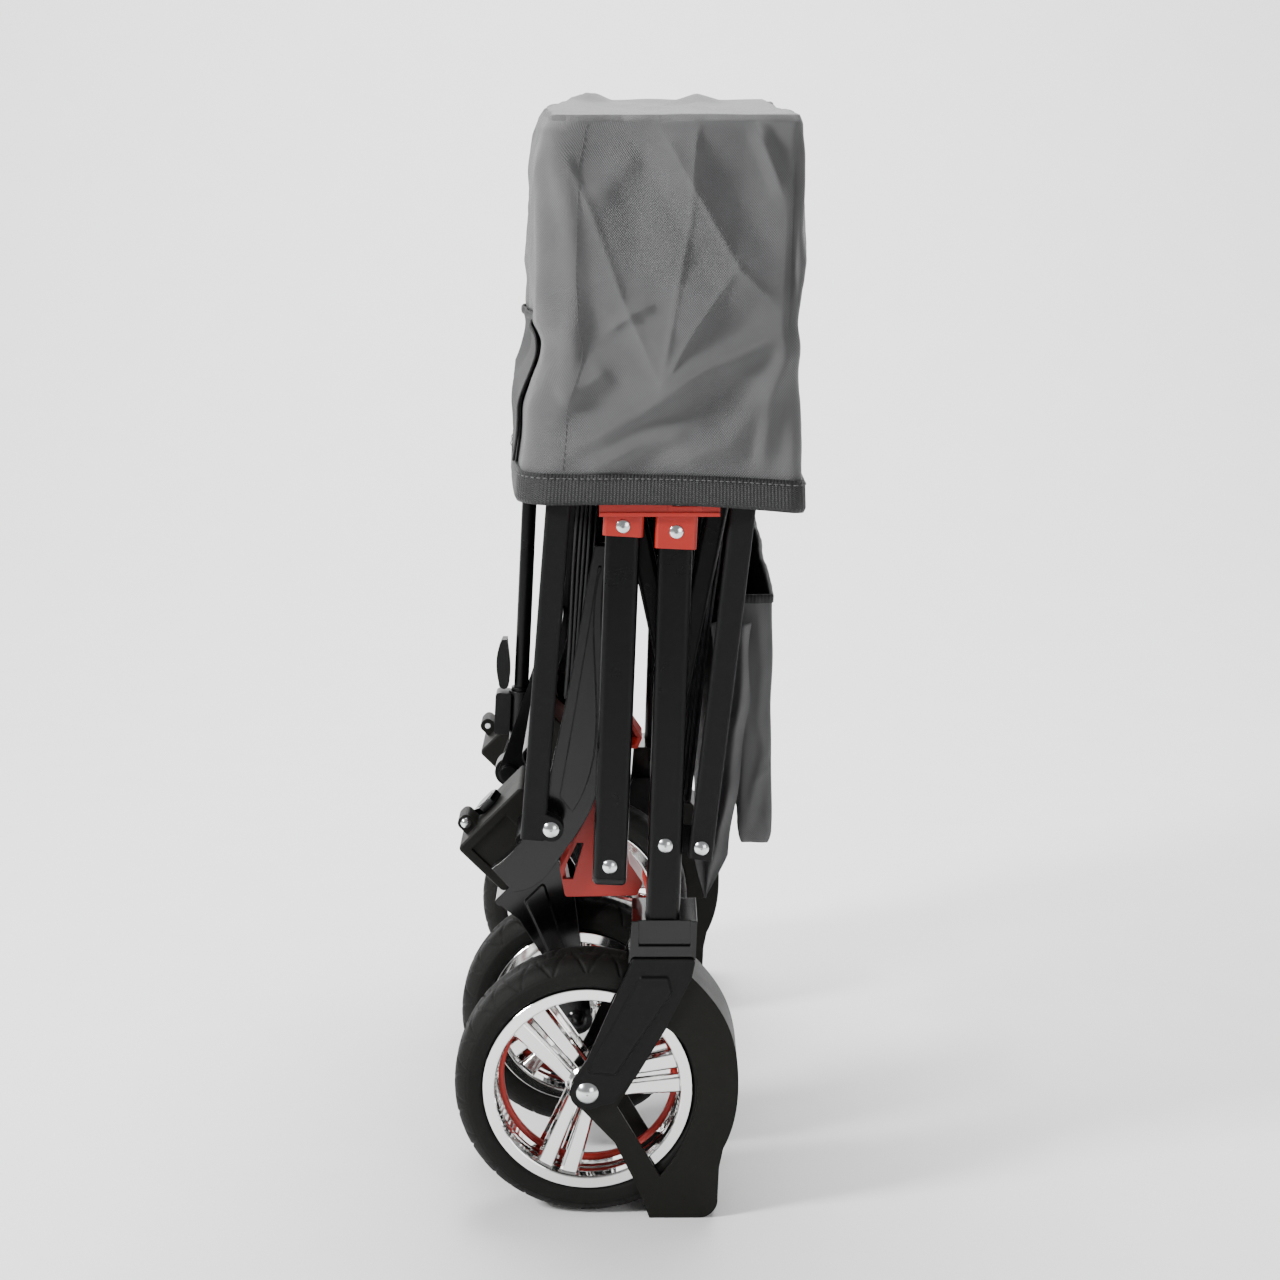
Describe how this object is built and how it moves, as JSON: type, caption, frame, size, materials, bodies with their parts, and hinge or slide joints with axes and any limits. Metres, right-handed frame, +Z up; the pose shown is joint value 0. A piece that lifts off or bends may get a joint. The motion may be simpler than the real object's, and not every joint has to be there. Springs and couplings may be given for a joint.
{
  "type": "folding wagon",
  "caption": "Folding fabric wagon with a pull handle, stood upright in its folded, covered state on spoked wheels and fender feet; the frame unfolds",
  "frame": {"origin": "on the ground under the middle of the folded wagon's overall box", "axes": "+Z up, -X the wagon's front where the pull handle is, -Y the wagon's left side"},
  "size_m": [0.2555, 0.591, 0.816],
  "materials": {
    "black_frame": "satin powder coat",
    "gloss_black": "gloss black",
    "olive_plastic": "fine moulded grain, olive black",
    "red_plastic": "satin moulded red",
    "black_plastic": "moulded black",
    "zinc": "bright zinc plate",
    "chrome": "mirror chrome plate",
    "tyre": "black foam rubber with a leaf tread",
    "grey_fabric": "mid grey polyester oxford weave",
    "mat_fabric": "dark padded polyester"
  },
  "bodies": {
    "rear_uprights": {"rear_posts": "black_frame", "rear_top_bar": "black_frame", "rear_top_pins": "zinc", "tub_rear_wall": "grey_fabric", "rear_pouch": "grey_fabric", "tub_rear_sides": "grey_fabric"},
    "rear_frame": {"rear_rails": "black_frame", "rear_sockets": "red_plastic", "rear_rail_rivets": "zinc", "post_brackets": "black_frame", "rail_brackets": "gloss_black", "fork_arms": "gloss_black", "inner_fork_arms": "gloss_black", "fender_left": "olive_plastic", "fender_right": "olive_plastic", "rear_axles": "zinc", "rear_cross_bar": "black_frame", "rear_floor_mat": "mat_fabric"},
    "left_rear_wheel": {"rear_tyre_left": "tyre", "rear_rim_left": "chrome"},
    "right_rear_wheel": {"rear_tyre_right": "tyre", "rear_rim_right": "chrome"},
    "hub_links": {"hubs": "red_plastic", "hub_pins": "zinc"},
    "left_latch": {"latch_left": "red_plastic"},
    "right_latch": {"latch_right": "red_plastic"},
    "front_rails": {"front_rails": "black_frame", "front_sockets": "red_plastic", "front_rail_caps": "black_plastic", "front_rail_rivets": "zinc", "front_floor_mat": "mat_fabric"},
    "front_frame": {"curved_arms": "gloss_black", "red_brackets": "red_plastic", "caster_arms": "black_frame", "caster_housing_left": "olive_plastic", "caster_housing_right": "olive_plastic", "front_cross_bar": "black_frame", "front_frame_bolts": "zinc"},
    "left_caster": {"caster_fork_left": "gloss_black"},
    "right_caster": {"caster_fork_right": "gloss_black"},
    "left_front_wheel": {"front_tyre_left": "tyre", "front_rim_left": "chrome"},
    "right_front_wheel": {"front_tyre_right": "tyre", "front_rim_right": "chrome"},
    "front_uprights": {"front_posts": "black_frame", "front_top_bar": "black_frame", "front_top_pins": "zinc", "front_mid_bar": "black_frame", "handle_yoke": "black_frame", "tub_front_wall": "grey_fabric", "tub_front_sides": "grey_fabric"},
    "pull_handle": {"handle_base": "black_frame", "handle_tube": "black_frame", "handle_clamp": "black_plastic"},
    "handle_grip": {"handle_grip": "black_plastic"},
    "clamp_lever": {"clamp_lever": "black_plastic"},
    "rear_top_rails": {"rear_top_rails": "black_frame"},
    "front_top_rails": {"front_top_rails": "black_frame"},
    "cover": {"storage_cover": "grey_fabric"}
  },
  "joints": [
    {"name": "fold", "type": "hinge", "parent": "rear_uprights", "child": "rear_frame", "pos_m": [0.057, 0, 0.286], "axis": [0, -1, 0], "range_deg": [0, 88], "deforming": ["storage_cover"]},
    {"name": "hub_pivot", "type": "hinge", "parent": "rear_frame", "child": "hub_links", "pos_m": [0.0385, 0, 0.545], "axis": [0, 1, 0], "range_deg": [0, 88]},
    {"name": "front_rail_pivot", "type": "hinge", "parent": "hub_links", "child": "front_rails", "pos_m": [0.0008, 0, 0.545], "axis": [0, 1, 0], "range_deg": [0, 87.93]},
    {"name": "front_frame_pivot", "type": "hinge", "parent": "front_rails", "child": "front_frame", "pos_m": [-0.01, 0, 0.272], "axis": [0, -1, 0], "range_deg": [0, 42.93]},
    {"name": "front_post_pivot", "type": "hinge", "parent": "front_frame", "child": "front_uprights", "pos_m": [-0.0528, 0, 0.3], "axis": [0, -1, 0], "range_deg": [0, 56.5]},
    {"name": "rear_top_rail_pivot", "type": "hinge", "parent": "rear_uprights", "child": "rear_top_rails", "pos_m": [0.10842, 0, 0.735], "axis": [0, 1, 0], "range_deg": [0, 78.84]},
    {"name": "front_top_rail_pivot", "type": "hinge", "parent": "front_uprights", "child": "front_top_rails", "pos_m": [-0.03196, 0, 0.712], "axis": [0, -1, 0], "range_deg": [0, 66.85]},
    {"name": "left_rear_wheel_spin", "type": "hinge", "parent": "rear_frame", "child": "left_rear_wheel", "pos_m": [-0.027, -0.2595, 0.1], "axis": [0, 1, 0], "continuous": true},
    {"name": "right_rear_wheel_spin", "type": "hinge", "parent": "rear_frame", "child": "right_rear_wheel", "pos_m": [-0.027, 0.2595, 0.1], "axis": [0, 1, 0], "continuous": true},
    {"name": "left_caster_swivel", "type": "hinge", "parent": "front_frame", "child": "left_caster", "pos_m": [-0.086, -0.149, 0.264], "axis": [-0.7071, 0, 0.7071], "range_deg": [-15, 15]},
    {"name": "right_caster_swivel", "type": "hinge", "parent": "front_frame", "child": "right_caster", "pos_m": [-0.086, 0.149, 0.264], "axis": [-0.7071, 0, 0.7071], "range_deg": [-15, 15]},
    {"name": "left_front_wheel_spin", "type": "hinge", "parent": "left_caster", "child": "left_front_wheel", "pos_m": [-0.03721, -0.149, 0.11621], "axis": [0, 1, 0], "continuous": true},
    {"name": "right_front_wheel_spin", "type": "hinge", "parent": "right_caster", "child": "right_front_wheel", "pos_m": [-0.03721, 0.149, 0.11621], "axis": [0, 1, 0], "continuous": true},
    {"name": "handle_swing", "type": "hinge", "parent": "front_uprights", "child": "pull_handle", "pos_m": [-0.096, 0, 0.272], "axis": [0, -1, 0], "range_deg": [0, 100]},
    {"name": "handle_extend", "type": "slide", "parent": "pull_handle", "child": "handle_grip", "axis": [0.0518, 0, 0.9987], "range_m": [0, 0.2]},
    {"name": "clamp_release", "type": "hinge", "parent": "pull_handle", "child": "clamp_lever", "pos_m": [-0.1, 0, 0.346], "axis": [0, -1, 0], "range_deg": [0, 90]},
    {"name": "left_latch_slide", "type": "slide", "parent": "hub_links", "child": "left_latch", "axis": [0, 0, 1], "range_m": [0, 0.004], "stiffness_N_per_m": 300, "springref_m": -0.002},
    {"name": "right_latch_slide", "type": "slide", "parent": "hub_links", "child": "right_latch", "axis": [0, 0, 1], "range_m": [0, 0.004], "stiffness_N_per_m": 300, "springref_m": -0.002},
    {"name": "cover_lift", "type": "slide", "parent": "rear_uprights", "child": "cover", "axis": [0, 0, 1], "range_m": [0, 0.3]}
  ],
  "couplings": [
    {"joint": "hub_pivot", "follows": "fold", "ratio": 1},
    {"joint": "front_rail_pivot", "follows": "fold", "ratio": 0.99698},
    {"joint": "front_frame_pivot", "follows": "fold", "ratio": 0.48562},
    {"joint": "front_post_pivot", "follows": "fold", "ratio": 0.63977},
    {"joint": "rear_top_rail_pivot", "follows": "fold", "ratio": 0.89367},
    {"joint": "front_top_rail_pivot", "follows": "fold", "ratio": 0.75734}
  ]
}
